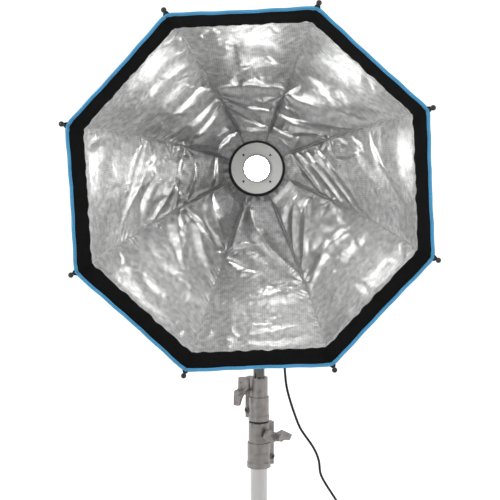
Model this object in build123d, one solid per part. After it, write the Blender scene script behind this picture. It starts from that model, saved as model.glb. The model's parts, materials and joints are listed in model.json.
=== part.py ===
from build123d import *
import math
import os

# A quick-opening octagonal softbox, on its LED light head and on the riser column of a light stand.
# Millimetres, +Z up. The origin is the centre of the column's lower end. The softbox faces -Y, and its
# axis lies in the plane x = 0. Along that axis, "forward" is the distance in front of the speed ring.

os.makedirs("parts", exist_ok=True)

# ---------------------------------------------------------------- driving dimensions
AXIS_Z = 1215.0  # softbox axis above the column's foot
RING_Y = -160.0  # front plane of the speed ring
RUNNING = 0.08  # radial clearance of a running fit

# softbox
RIBS = 8
RIM_R = 457.0  # rib centre line at the rim, from the softbox axis
RIM_DEPTH = 420.0  # rim in front of the speed ring
RIB_BOW = 47.0  # height of a rib's bow over its chord
RIB_ROD_R = 2.5
TIP_NECK, TIP_R = 10.7, 6.6  # ball tips stand out of the fabric's corners
HINGE_R = 84.0  # rib hinge pins, from the softbox axis
HINGE_FORWARD = -8.0
OCTAGON_TURN = 2.75  # the softbox as turned on its ring, in degrees
FABRIC_GAP = 4.0  # rib centre line to the fabric's outer face
FABRIC_T = 3.0
HEM_R = 72.0  # corner radius of the fabric's opening round the lamp
PANEL_GAP = 0.4  # half of the gap between neighbouring panels, at the middle of a gore
SEAM_GAP = 0.1  # half of the gap between a panel's two halves, along its rib

# column
BASE_R, BASE_WALL = 22.5, 2.0
FOOT_R, FOOT_L = 22.0, 60.0  # turned-down end that drops into the stand's base
MIDDLE_R, MIDDLE_WALL = 19.0, 1.5
TOP_R, TOP_WALL = 15.0, 1.5
LOWER_COLLAR_Z = (397.0, 519.0)
UPPER_COLLAR_Z = (524.0, 640.0)
LUG_TURN = 35.0  # clamp screws turn this far to the side of straight ahead, in degrees
MIDDLE_BOTTOM_Z = 40.0
TOP_BOTTOM_Z = 398.0
TOP_END_Z = 1018.0
STUD_R = 8.0
BUSH_L = 30.0
BASE_SEAT, MIDDLE_SEAT = 53.0, 58.0  # depth in a collar, from its top, that the clamped tube slides through
HANDLE_REACH = 37.0  # from a clamp screw's middle to the back of its handle
HANDLE_T = 10.0
HANDLE_LEAN = {"lower": -60.0, "upper": 0.0}  # degrees

# light head
PIVOT_Z = AXIS_Z - 96.0  # tilt pivot, on the column's axis
BODY_W, BODY_H = 134.0, 136.0
BODY_FRONT, BODY_REAR = -120.0, 90.0
BODY_WALL = 3.0
COVER_REAR = 106.0
PLATE_R = 64.5
LENS_R = 31.2
LENS_EDGE, LENS_CROWN = 3.5, 8.5  # how far the lens stands forward at its edge and at its middle
PLATE_SCREW_PCD = 95.0
KNOB_AT = (-30.0, AXIS_Z + 18.0)
SWITCH_AT = (34.0, AXIS_Z - 22.0)
DISPLAY_AT = (22.0, AXIS_Z + 26.0)

# mains lead
CORD_R = 3.0
CORD_EXIT = (45.0, 75.0, 1107.0)
COIL_CENTRE = (262.0, 78.0, 175.0)
COIL_R = 34.5
COIL_HALF = 9.8
PLUG_TOP = (227.5, 78.0, 118.0)
CORD_ROUTE = [
    CORD_EXIT, (45, 75, 1054), (46, 78, 990), (50, 82, 920), (55, 80, 845), (60, 76, 772),
    (63, 75, 704), (66, 76, 645), (70, 77, 598), (81, 78, 556), (94, 79, 517), (107, 79, 482),
    (126, 78, 455), (146, 78, 427), (160, 79, 392), (161, 80, 358), (175, 80, 331), (192, 79, 305),
    (209, 79, 278), (221, 78, 252), (227.5, 78, 226), (228, 78, 205),
]


# ---------------------------------------------------------------- helpers
def save(name, *solids):
    """Write one node: a single solid, or a group of separate ones."""
    shapes = [s for item in solids for s in item.solids()]
    export_step(shapes[0] if len(shapes) == 1 else Compound(shapes), f"parts/{name}.step")


def rod(radius, start, direction, length):
    return extrude(Plane(origin=start, z_dir=direction) * Circle(radius), length)


def tube(outer, inner, start, direction, length):
    ring = Circle(outer) - Circle(inner)
    return extrude(Plane(origin=start, z_dir=direction) * ring, length)


def block(low, high):
    """Box between two opposite corners."""
    size = [b - a for a, b in zip(low, high)]
    middle = [(a + b) / 2 for a, b in zip(low, high)]
    return Pos(*middle) * Box(*size)


def on_axis(forward):
    """A point of the softbox axis."""
    return (0, RING_Y - forward, AXIS_Z)


def axis_disc(outer, inner, back, front):
    """Ring on the softbox axis between two forward distances."""
    if inner:
        return tube(outer, inner, on_axis(back), (0, -1, 0), front - back)
    return rod(outer, on_axis(back), (0, -1, 0), front - back)


def rib_angle(index):
    return 90.0 - 22.5 + OCTAGON_TURN - 360.0 / RIBS * index


def radial_plane(angle):
    """Sketch plane through the softbox axis: x is the radius, y is forward."""
    a = math.radians(angle)
    return Plane(origin=on_axis(0), x_dir=(math.cos(a), 0, math.sin(a)), z_dir=(math.sin(a), 0, -math.cos(a)))


def around_axis(shape, angle):
    """Turn a shape about the softbox axis, anticlockwise as seen from the front."""
    return shape.rotate(Axis(on_axis(0), (0, -1, 0)), angle)


# ---------------------------------------------------------------- rib curve
CHORD = (RIM_R - HINGE_R, RIM_DEPTH - HINGE_FORWARD)
CHORD_L = math.hypot(*CHORD)
RIB_R = (CHORD_L**2 / 4 + RIB_BOW**2) / (2 * RIB_BOW)
CHORD_SLOPE = math.atan2(CHORD[1], CHORD[0])
HALF_TURN = math.asin(CHORD_L / 2 / RIB_R)
RIB_CENTRE = (
    HINGE_R - RIB_R * math.sin(CHORD_SLOPE - HALF_TURN),
    HINGE_FORWARD + RIB_R * math.cos(CHORD_SLOPE - HALF_TURN),
)


def rib_point(offset, turn):
    """Point beside the rib curve: offset inwards, turned along the curve from the hinge, in radians."""
    heading = CHORD_SLOPE - HALF_TURN + turn
    radius = RIB_R - offset
    return (RIB_CENTRE[0] + radius * math.sin(heading), RIB_CENTRE[1] - radius * math.cos(heading))


def turn_at_forward(offset, forward):
    radius = RIB_R - offset
    return math.acos((RIB_CENTRE[1] - forward) / radius) - (CHORD_SLOPE - HALF_TURN)


def turn_at_radius(offset, r):
    radius = RIB_R - offset
    return math.asin((r - RIB_CENTRE[0]) / radius) - (CHORD_SLOPE - HALF_TURN)


# ---------------------------------------------------------------- softbox
def make_speed_ring():
    ring = axis_disc(79.0, 71.0 + RUNNING, -14.3, 0.0)
    for index in range(RIBS):
        ears = block((77.5, RING_Y - 0.0, -8.5), (90.0, RING_Y + 16.0, 8.5))
        slot = block((79.2, RING_Y - 1.0, -4.3), (91.0, RING_Y + 17.0, 4.3))
        clevis = Pos(0, 0, AXIS_Z) * (ears - slot)
        ring += around_axis(clevis, rib_angle(index))
    for index in range(RIBS):
        hole = rod(1.6, (HINGE_R, RING_Y - HINGE_FORWARD, AXIS_Z - 10), (0, 0, 1), 20)
        ring -= around_axis(hole, rib_angle(index))
    save("speed_ring", ring)


def make_rib_pins():
    pins = []
    for index in range(RIBS):
        pin = rod(1.6, (HINGE_R, RING_Y - HINGE_FORWARD, AXIS_Z - 8.5), (0, 0, 1), 17)
        pins.append(around_axis(pin, rib_angle(index)))
    save("rib_hinge_pins", *pins)


def make_rib(index):
    """Bowed rod with its hinge knuckle and its ball tip."""
    plane = radial_plane(rib_angle(index))
    start_turn = 7.0 / RIB_R
    end_turn = 2 * HALF_TURN
    curve = plane * ThreePointArc(
        rib_point(0, start_turn), rib_point(0, (start_turn + end_turn) / 2), rib_point(0, end_turn)
    )
    bowed_rod = sweep(Plane(origin=curve @ 0, z_dir=curve % 0) * Circle(RIB_ROD_R), path=curve)

    hinge = plane.from_local_coords((HINGE_R, HINGE_FORWARD, 0))
    across = plane.z_dir
    barrel = rod(4.5, hinge - across * 4, across, 8)
    heading = (curve @ 0 - hinge).normalized()
    arm = rod(3.6, hinge, heading, 30)
    pin_hole = rod(1.6 + 0.06, hinge - across * 6, across, 12)
    knuckle = barrel + arm - pin_hole - bowed_rod

    end = curve @ 1
    tip_slope = math.radians(42)
    out = plane.from_local_coords((math.cos(tip_slope), math.sin(tip_slope), 0)) - plane.origin
    along = (curve % 1).normalized()
    sleeve = rod(3.6, end - along * 12, along, 13) - bowed_rod
    neck = rod(2.9, end, out, TIP_NECK) - bowed_rod
    ball = Pos(*(end + out * TIP_NECK)) * Sphere(TIP_R)
    save(f"rib_{index + 1}", bowed_rod, knuckle, sleeve + neck + ball)


def make_canopy(index):
    """Fabric of the two half gores that meet along one rib."""
    outer, inner = FABRIC_GAP, FABRIC_GAP + FABRIC_T
    squeeze = math.cos(math.radians(180.0 / RIBS))
    arcs = []
    for offset, first_r in ((outer, 98.0), (inner, 97.0)):
        first = turn_at_radius(offset, first_r)
        last = turn_at_forward(offset, RIM_DEPTH)
        marks = [rib_point(offset, first + (last - first) * k / 2) for k in range(3)]
        arcs.append([(r * squeeze, forward) for r, forward in marks])
    hem = HEM_R * squeeze
    outline = [
        Line((hem, 3.0), arcs[0][0]),
        ThreePointArc(*arcs[0]),
        Line(arcs[0][2], arcs[1][2]),
        ThreePointArc(*reversed(arcs[1])),
        Line(arcs[1][0], (hem, 6.0)),
        Line((hem, 6.0), (hem, 3.0)),
    ]
    profile = make_face(outline)
    half_gore = 180.0 / RIBS
    spread = math.tan(math.radians(half_gore))
    gap = PANEL_GAP / squeeze
    reach = 1.2 * RIM_R
    halves = []
    for side in (-1, 1):
        band = extrude(radial_plane(half_gore * side) * profile, 200.0, both=True)
        wedge = Polyline(
            ((SEAM_GAP + gap) / spread, side * SEAM_GAP),
            (reach, side * SEAM_GAP),
            (reach, side * (reach * spread - gap)),
            close=True,
        )
        wedge_face = Plane(origin=on_axis(0), x_dir=(1, 0, 0), z_dir=(0, -1, 0)) * make_face(wedge)
        half = band & extrude(wedge_face, RIM_DEPTH + 50)
        halves.append(around_axis(half, rib_angle(index)))
    save(f"canopy_{index + 1}", *halves)


def make_insert_ring():
    """Bayonet insert that stays in the lamp while the speed ring turns round it."""
    ring = axis_disc(71.0, 66.5, -36.0, 0.1) + axis_disc(75.0, 66.5, 0.1, 2.5)
    sector = Polyline((0, 0), (90, -22), (90, 22), close=True)
    face = Plane(origin=on_axis(-35), x_dir=(1, 0, 0), z_dir=(0, -1, 0)) * make_face(sector)
    lug = extrude(face, 7) & axis_disc(74.5, 68.0, -35, -28)
    for angle in (90, 210, 330):
        ring += around_axis(lug, angle)
    save("insert_ring", ring)


# ---------------------------------------------------------------- light head
def make_lamp_bayonet():
    ring = axis_disc(80.0, 75.2, -40.0, -16.0)
    lip = axis_disc(75.2, 71.4, -26.0, -16.0)
    notch = block((68.0, RING_Y + 15.0, -21.0), (75.2, RING_Y + 27.0, 21.0))
    for angle in (30, 150, 270):
        lip -= around_axis(Pos(0, 0, AXIS_Z) * notch, angle)
    save("lamp_bayonet", ring + lip)


def rounded_body(y_front, y_rear, inset, corner):
    size = (BODY_W - 2 * inset, y_rear - y_front, BODY_H - 2 * inset)
    body = Pos(0, (y_front + y_rear) / 2, AXIS_Z) * Box(*size)
    return fillet(body.edges().filter_by(Axis.Y), corner)


def make_lamp_housing():
    body = rounded_body(BODY_FRONT, BODY_REAR, 0, 22)
    body -= rounded_body(BODY_FRONT + 4, BODY_REAR + 1, BODY_WALL, 19)
    boss_back = -(BODY_FRONT - RING_Y)
    body += axis_disc(62.0, 40.0, boss_back, -2.0)
    body -= axis_disc(40.0, 0, boss_back - 6, boss_back + 1)
    for row in range(9):
        z = AXIS_Z - 40 + 10 * row
        for y in (-84.0, -14.0):
            body -= block((-BODY_W / 2 - 1, y, z - 2.2), (BODY_W / 2 + 1, y + 58, z + 2.2))
    for x in range(-40, 41, 10):
        body -= block((x - 2.2, -10, AXIS_Z + BODY_H / 2 - 8), (x + 2.2, 60, AXIS_Z + BODY_H / 2 + 1))
    body -= block((-4.2, -112, AXIS_Z + 60), (4.2, -96, AXIS_Z + 70))
    body -= rod(6.6, (CORD_EXIT[0], CORD_EXIT[1], AXIS_Z - BODY_H / 2 - 1), (0, 0, 1), 6)
    for k in range(4):
        angle = math.radians(45 + 90 * k)
        x, z = PLATE_SCREW_PCD / 2 * math.cos(angle), PLATE_SCREW_PCD / 2 * math.sin(angle)
        body -= rod(1.5, (x, RING_Y + 14, AXIS_Z + z), (0, -1, 0), 14)
    save("lamp_housing", body)


def make_front_plate():
    plate = axis_disc(PLATE_R, LENS_R + 0.3, -2.0, 1.0)
    screws = []
    for k in range(4):
        angle = math.radians(45 + 90 * k)
        x, z = PLATE_SCREW_PCD / 2 * math.cos(angle), PLATE_SCREW_PCD / 2 * math.sin(angle)
        plate -= rod(1.5, (x, RING_Y + 5, AXIS_Z + z), (0, -1, 0), 8)
        shank = rod(1.5, (x, RING_Y + 14, AXIS_Z + z), (0, -1, 0), 15)
        head = rod(2.75, (x, RING_Y - 1.0, AXIS_Z + z), (0, -1, 0), 1.6)
        socket = Plane(origin=(x, RING_Y - 1.4, AXIS_Z + z), z_dir=(0, -1, 0)) * RegularPolygon(1.5, 6)
        screws.append(shank + head - extrude(socket, 2))
    save("front_plate", plate)
    save("front_plate_screws", *screws)


def make_lens():
    save("lens_ring", axis_disc(36.3, LENS_R + 0.1, 1.0, 5.0))
    rise = LENS_CROWN - LENS_EDGE
    dome_r = (LENS_R**2 + rise**2) / (2 * rise)
    dome = Pos(*on_axis(LENS_CROWN - dome_r)) * Sphere(dome_r)
    save("glass_lens", axis_disc(LENS_R, 0, -2.0, LENS_CROWN + 1) & dome)


def make_led_and_heat_sink():
    base_front = BODY_FRONT + 4.5
    chip = Pos(0, base_front - 1, AXIS_Z) * Box(46, 2, 46)
    emitter = rod(17, (0, base_front - 2, AXIS_Z), (0, -1, 0), 1.6)
    save("led_chip", chip + emitter)
    sink = Pos(0, base_front + 4, AXIS_Z) * Box(104, 8, 104)
    for k in range(13):
        x = -48 + 8 * k
        sink += block((x - 1, base_front + 8, AXIS_Z - 48), (x + 1, base_front + 62, AXIS_Z + 48))
    save("heat_sink", sink)


def make_fan():
    front, rear = -46.0, -26.0
    frame = block((-46, front, AXIS_Z - 46), (46, rear, AXIS_Z + 46))
    frame -= rod(43.0, (0, front - 1, AXIS_Z), (0, 1, 0), rear - front + 2)
    for angle in (45, 135):
        strut = Pos(0, rear - 1.5, AXIS_Z) * Rot(0, angle, 0) * Box(100, 3, 6)
        frame += strut & rod(44.0, (0, rear - 3, AXIS_Z), (0, 1, 0), 3)
    frame += rod(12.0, (0, rear - 3, AXIS_Z), (0, 1, 0), 3)
    frame += rod(1.5, (0, front + 4, AXIS_Z), (0, 1, 0), rear - front - 6)
    save("fan_frame", frame)

    hub = rod(16.0, (0, front + 2, AXIS_Z), (0, 1, 0), 14.4)
    rotor = hub
    for k in range(7):
        blade = Pos(28, front + 9, 0) * Rot(38, 0, 0) * Box(27, 1.6, 15)
        rotor += (Pos(0, 0, AXIS_Z) * blade).rotate(Axis((0, 0, AXIS_Z), (0, 1, 0)), 360 / 7 * k)
    rotor -= rod(1.5 + RUNNING, (0, front, AXIS_Z), (0, 1, 0), 25)
    save("fan_rotor", rotor)


def make_driver_board():
    board = block((-48, -8, AXIS_Z - 52), (30, 80, AXIS_Z - 50))
    choke = rod(11, (-26, 20, AXIS_Z - 50), (0, 0, 1), 16)
    capacitor = rod(9, (6, 12, AXIS_Z - 50), (0, 0, 1), 26)
    transformer = block((-42, 44, AXIS_Z - 50), (-10, 72, AXIS_Z - 26))
    save("driver_board", board + choke + capacitor + transformer)


def make_rear_cover():
    cover = rounded_body(BODY_REAR + 0.2, COVER_REAR, 0, 22)
    cover = fillet(cover.edges().group_by(Axis.Y)[-1], 4)
    cover -= rounded_body(BODY_REAR, COVER_REAR - 3, BODY_WALL, 19)
    x, z = KNOB_AT
    cover -= rod(3 + RUNNING, (x, COVER_REAR - 5, z), (0, 1, 0), 8)
    x, z = SWITCH_AT
    cover -= block((x - 10.4, COVER_REAR - 5, z - 7.4), (x + 10.4, COVER_REAR + 1, z + 7.4))
    x, z = DISPLAY_AT
    cover -= block((x - 22, COVER_REAR - 2, z - 11), (x + 22, COVER_REAR + 1, z + 11))
    for k in range(8):
        x = -42 + 12 * k
        cover -= block((x - 2.5, COVER_REAR - 5, AXIS_Z - 58), (x + 2.5, COVER_REAR + 1, AXIS_Z - 38))
    save("lamp_rear_cover", cover)
    x, z = DISPLAY_AT
    save("display_window", block((x - 22, COVER_REAR - 2, z - 11), (x + 22, COVER_REAR - 0.2, z + 11)))


def make_controls():
    x, z = KNOB_AT
    knob = rod(14, (x, COVER_REAR + 0.5, z), (0, 1, 0), 15)
    knob = chamfer(knob.edges().group_by(Axis.Y)[-1], 1.2)
    for k in range(18):
        angle = math.radians(20 * k)
        groove_x, groove_z = x + 14.2 * math.cos(angle), z + 14.2 * math.sin(angle)
        knob -= rod(0.9, (groove_x, COVER_REAR + 3, groove_z), (0, 1, 0), 14)
    knob -= block((x - 0.7, COVER_REAR + 14.7, z + 5), (x + 0.7, COVER_REAR + 16, z + 15))
    save("dimmer_knob", knob + rod(3, (x, COVER_REAR - 6, z), (0, 1, 0), 7))

    x, z = SWITCH_AT
    profile = Polyline((-9.7, -1.5), (9.7, -1.5), (9.7, 1.2), (0, 2.4), (-9.7, 3.6), close=True)
    plane = Plane(origin=(x, COVER_REAR, z - 6.7), x_dir=(1, 0, 0), z_dir=(0, 0, 1))
    rocker = extrude(plane * make_face(profile), 13.4)
    save("power_switch", rocker)

    top = AXIS_Z + BODY_H / 2
    cap = block((-8, -114, top + 0.3), (8, -102, top + 5.5))
    cap = fillet(cap.edges().group_by(Axis.Z)[-1], 1.5)
    stem = block((-3.9, -111.6, top - 3.4), (3.9, -104.4, top + 0.6))
    keeper = block((-7, -112.5, top - 5.2), (7, -103.5, top - 3.4))
    save("bayonet_release", cap + stem + keeper)


def make_lamp_foot():
    """Tongue under the lamp that the tilt bracket's fork holds."""
    under = AXIS_Z - BODY_H / 2
    flange = block((-20, -30, under - 8), (20, 30, under))
    flange = fillet(flange.edges().filter_by(Axis.Z), 6)
    tongue = block((-10, -15, PIVOT_Z), (10, 15, under - 7)) + rod(15, (-10, 0, PIVOT_Z), (1, 0, 0), 20)
    foot = flange + tongue - rod(4 + RUNNING, (-12, 0, PIVOT_Z), (1, 0, 0), 24)
    save("lamp_foot", foot)


def make_tilt_bracket():
    socket_low, socket_top = TOP_END_Z + 9.0, TOP_END_Z + 72.0
    socket = rod(17, (0, 0, socket_low), (0, 0, 1), PIVOT_Z - 19 - socket_low)
    base = block((-18.4, -16, PIVOT_Z - 29), (18.4, 16, PIVOT_Z - 19))
    ears = block((-18.4, -15, PIVOT_Z - 19), (18.4, 15, PIVOT_Z))
    ears += rod(15, (-18.4, 0, PIVOT_Z), (1, 0, 0), 36.8)
    ears -= block((-10.4, -20, PIVOT_Z - 19), (10.4, 20, PIVOT_Z + 20))
    boss = rod(9.5, (0, 0, TOP_END_Z + 42), (0, 1, 0), 26)
    bracket = socket + base + ears + boss
    bracket -= rod(STUD_R + RUNNING, (0, 0, socket_low - 1), (0, 0, 1), socket_top - socket_low + 1)
    bracket -= rod(4 + RUNNING, (-20, 0, PIVOT_Z), (1, 0, 0), 40)
    bracket -= rod(3 + RUNNING, (0, 0, TOP_END_Z + 42), (0, 1, 0), 30)
    save("tilt_bracket", bracket)


def make_tilt_lever():
    bolt = rod(4, (-24, 0, PIVOT_Z), (1, 0, 0), 52)
    hub = rod(10, (-36, 0, PIVOT_Z), (1, 0, 0), 17.3)
    reach = Vector(0, 30, -46)
    arm = rod(4.2, (-31, 0, PIVOT_Z), reach, reach.length)
    grip = rod(6.2, Vector(-31, 0, PIVOT_Z) + reach * 0.45, reach, reach.length * 0.62)
    grip = fillet(grip.edges(), 3)
    save("tilt_lever", bolt + hub + arm + grip)
    nut = Plane(origin=(18.7, 0, PIVOT_Z), z_dir=(1, 0, 0)) * (RegularPolygon(7.5, 6) - Circle(4 + RUNNING))
    save("tilt_nut", extrude(nut, 7))


def make_receiver_knob():
    z = TOP_END_Z + 42
    screw = rod(3, (0, STUD_R + 0.4, z), (0, 1, 0), 24)
    knob = rod(11, (0, 26.6, z), (0, 1, 0), 13)
    for k in range(3):
        angle = math.radians(90 + 120 * k)
        knob += rod(6.5, (9.5 * math.cos(angle), 26.6, z + 9.5 * math.sin(angle)), (0, 1, 0), 13)
    save("receiver_knob", knob + screw)


# ---------------------------------------------------------------- stand column
def make_tubes():
    base = tube(BASE_R, BASE_R - BASE_WALL, (0, 0, 0), (0, 0, 1), LOWER_COLLAR_Z[1] - BASE_SEAT)
    save("base_tube", base - tube(BASE_R + 1, FOOT_R, (0, 0, -1), (0, 0, 1), FOOT_L + 1))
    length = UPPER_COLLAR_Z[1] - MIDDLE_SEAT - MIDDLE_BOTTOM_Z
    save("middle_riser", tube(MIDDLE_R, MIDDLE_R - MIDDLE_WALL, (0, 0, MIDDLE_BOTTOM_Z), (0, 0, 1), length))
    length = TOP_END_Z - TOP_BOTTOM_Z
    save("top_riser", tube(TOP_R, TOP_R - TOP_WALL, (0, 0, TOP_BOTTOM_Z), (0, 0, 1), length))
    bush = BASE_R - BASE_WALL - RUNNING
    save("middle_riser_bush", tube(bush, MIDDLE_R, (0, 0, MIDDLE_BOTTOM_Z), (0, 0, 1), BUSH_L))
    bush = MIDDLE_R - MIDDLE_WALL - RUNNING
    save("top_riser_bush", tube(bush, TOP_R, (0, 0, TOP_BOTTOM_Z), (0, 0, 1), BUSH_L))
    bumper = tube(25.5, MIDDLE_R + 0.3, (0, 0, LOWER_COLLAR_Z[1] + 0.4), (0, 0, 1), 4.6)
    save("collar_bumper", bumper)


def make_riser_stud():
    """Spigot on the top riser, with the groove that the receiver's knob bears on."""
    z = TOP_END_Z
    bore, groove = TOP_R - TOP_WALL, STUD_R - 1.5
    plug = [(0, z - 28), (bore, z - 28), (bore, z)]
    flange = [(TOP_R + 1.5, z), (TOP_R + 1.5, z + 6), (TOP_R, z + 8)]
    stud = [(STUD_R, z + 8), (STUD_R, z + 34), (groove, z + 36), (groove, z + 48), (STUD_R, z + 50)]
    end = [(STUD_R, z + 67), (groove, z + 69), (0, z + 69)]
    outline = Polyline(*plug, *flange, *stud, *end, close=True)
    save("riser_stud", revolve(Plane.XZ * make_face(outline), Axis.Z, 360))


def make_collar(name, z_range, seat, holds_r, sits_r, side):
    """Split clamp collar: its upper half clamps one tube, and its lower half sits on the next one."""
    low, high = z_range
    step = low + 0.55 * (high - low)
    shoulder = high - seat
    wall_r = holds_r + 8.3
    body = rod(wall_r + 3, (0, 0, low), (0, 0, 1), step - low)
    body += rod(wall_r, (0, 0, step), (0, 0, 1), high - step)
    body += rod(wall_r + 4.2, (0, 0, low), (0, 0, 1), 14)
    lug_reach = holds_r + 23.5
    lug = block((0, -11, low + 4), (lug_reach, 11, high - 3))
    lug = fillet(lug.edges().filter_by(Axis.Z), 4)
    body += lug
    screw_r = clamp_screw_r(holds_r)
    for z in clamp_screw_z(z_range):
        body += rod(11, (screw_r, 14.5, z), (0, -1, 0), 29)
    body = fillet(body.edges().group_by(Axis.Z)[-1], 1.5)
    body -= rod(holds_r + RUNNING, (0, 0, shoulder - 1), (0, 0, 1), high - shoulder + 2)
    body -= rod(sits_r, (0, 0, low - 1), (0, 0, 1), shoulder - low + 1)
    body -= block((holds_r - 1, -1.3, low - 1), (lug_reach + 1, 1.3, high + 1))
    for z in clamp_screw_z(z_range):
        body -= rod(4 + RUNNING, (screw_r, 20, z), (0, -1, 0), 40)
        for face_y in (-14.5, 14.5):
            body -= rod(9.5, (screw_r, face_y, z), (0, math.copysign(1, face_y), 0), 30)
    save(name, place_collar(body, side))


def clamp_screw_r(holds_r):
    return holds_r + 10.5


def clamp_screw_z(z_range):
    """Heights of the T-handle's screw and of the fixed bolt below it."""
    low, high = z_range
    return high - 0.3 * (high - low), low + 0.22 * (high - low)


def place_collar(shape, side):
    """Turn a collar's local frame (lug to +X, handle to -Y) to the side where it stands."""
    if side > 0:
        return shape.rotate(Axis.Z, LUG_TURN)
    return mirror(shape, Plane.YZ).rotate(Axis.Z, -LUG_TURN)


def make_clamp_hardware(name, z_range, holds_r, side):
    """Fixed socket bolt, and the winged handle with its screw."""
    screw_r = clamp_screw_r(holds_r)
    handle_z, bolt_z = clamp_screw_z(z_range)
    head = rod(7.5, (screw_r, -14.5, bolt_z), (0, -1, 0), 5)
    socket = Plane(origin=(screw_r, -16.5, bolt_z), z_dir=(0, -1, 0)) * RegularPolygon(3.6, 6)
    bolt = head - extrude(socket, 4) + rod(4, (screw_r, 16, bolt_z), (0, -1, 0), 31)
    nut = extrude(Plane(origin=(screw_r, 14.5, bolt_z), z_dir=(0, 1, 0)) * RegularPolygon(7.2, 6), 5)
    save(f"{name}_collar_bolt", place_collar(bolt + nut, side))

    screw = rod(4, (screw_r, 18, handle_z), (0, -1, 0), 18 + HANDLE_REACH)
    neck = rod(8.5, (screw_r, -27, handle_z), (0, -1, 0), HANDLE_REACH)
    lower_wing = [(-1, -18), (7, -40), (24, -40), (23, -6)]
    upper_wing = [(9, 6), (8, 38), (-8, 40), (-20, 38), (-21, 10), (-9, -4)]
    back = Plane(origin=(screw_r, -HANDLE_REACH, handle_z), x_dir=(1, 0, 0), z_dir=(0, -1, 0))
    wing = extrude(back * make_face(Polyline(*lower_wing, *upper_wing, close=True)), HANDLE_T)
    wing = fillet(wing.edges().filter_by(Axis.Y), 3)
    wing = fillet(wing.edges().group_by(Axis.Y)[0] + wing.edges().group_by(Axis.Y)[-1], 2)
    hub = rod(11, (screw_r, 4 - HANDLE_REACH, handle_z), (0, -1, 0), HANDLE_T + 6)
    wing = wing.rotate(Axis((screw_r, 0, handle_z), (0, 1, 0)), HANDLE_LEAN[name])
    save(f"{name}_handle", place_collar(screw + neck + hub + wing, side))


# ---------------------------------------------------------------- mains lead
def cord_radii(route):
    """Arc radius at each inner point: 0.45 of the shorter run over the tangent of half the turn."""
    points = [Vector(*p) for p in route]
    radii = []
    for before, here, after in zip(points, points[1:], points[2:]):
        run_in, run_out = here - before, after - here
        half_turn = math.radians(run_in.get_angle(run_out)) / 2
        radii.append(0.45 * min(run_in.length, run_out.length) / math.tan(half_turn))
    return radii


def make_cord():
    radii = cord_radii(CORD_ROUTE)
    path = FilletPolyline(*CORD_ROUTE, radius=radii)
    cord = sweep(Plane(origin=path @ 0, z_dir=path % 0) * Circle(CORD_R), path=path)
    ratio = cord.volume / (math.pi * CORD_R**2 * path.length)
    print("cord radii", [round(r) for r in radii])
    print("cord length", round(path.length), "volume ratio", round(ratio, 4))
    save("power_cable", cord)

    x, y, z = CORD_EXIT
    under = AXIS_Z - BODY_H / 2
    collar_ring = rod(9, (x, y, under - 6), (0, 0, 1), 6)
    boot = Solid.make_cone(4.2, 6.5, under - 6 - z, Plane(origin=(x, y, z), z_dir=(0, 0, 1)))
    stem = rod(6.5, (x, y, under - 1), (0, 0, 1), 5)
    save("cable_gland", collar_ring + boot + stem)

    cx, cy, cz = COIL_CENTRE
    section = Pos(COIL_R, 0) * RectangleRounded(2 * COIL_HALF, 2 * COIL_HALF, 5)
    plane = Plane(origin=COIL_CENTRE, x_dir=(1, 0, 0), z_dir=(0, 0, 1))
    save("cable_coil", revolve(plane * section, Axis(COIL_CENTRE, (0, 1, 0)), 360))

    inner, outer = COIL_R - COIL_HALF - 0.9, COIL_R + COIL_HALF + 0.3
    across = COIL_HALF + 0.3
    band = block((cx - 6, cy - across - 1.5, cz + inner - 1.5), (cx + 6, cy + across + 1.5, cz + outer + 1.5))
    band -= block((cx - 7, cy - across, cz + inner), (cx + 7, cy + across, cz + outer))
    save("cable_tie", band)


def make_plug():
    """Moulded mains plug with two round pins, hanging pins down."""
    x, y, z = PLUG_TOP
    tail = rod(CORD_R, (x, y, z), (0, 0, 1), 22)
    boot = Solid.make_cone(6.2, 4.2, 22, Plane(origin=(x, y, z - 22), z_dir=(0, 0, 1)))
    body = Pos(x, y, z - 36) * Box(36, 22, 30)
    body = fillet(body.edges().filter_by(Axis.Z), 9)
    body = fillet(body.edges().group_by(Axis.Z)[-1], 5)
    plug = body + boot
    pins = [rod(2.4, (x + side * 9.5, y, z - 70), (0, 0, 1), 19) for side in (-1, 1)]
    save("cable_tail", tail)
    save("mains_plug", plug)
    save("plug_pins", *pins)


# ---------------------------------------------------------------- build
make_tubes()
make_riser_stud()
make_collar("lower_collar", LOWER_COLLAR_Z, BASE_SEAT, MIDDLE_R, BASE_R, 1)
make_collar("upper_collar", UPPER_COLLAR_Z, MIDDLE_SEAT, TOP_R, MIDDLE_R, -1)
make_clamp_hardware("lower", LOWER_COLLAR_Z, MIDDLE_R, 1)
make_clamp_hardware("upper", UPPER_COLLAR_Z, TOP_R, -1)
make_tilt_bracket()
make_tilt_lever()
make_receiver_knob()
make_lamp_foot()
make_lamp_housing()
make_lamp_bayonet()
make_front_plate()
make_lens()
make_led_and_heat_sink()
make_fan()
make_driver_board()
make_rear_cover()
make_controls()
make_insert_ring()
make_speed_ring()
make_rib_pins()
for number in range(RIBS):
    make_rib(number)
    make_canopy(number)
make_cord()
make_plug()
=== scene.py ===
import json
import math

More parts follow.
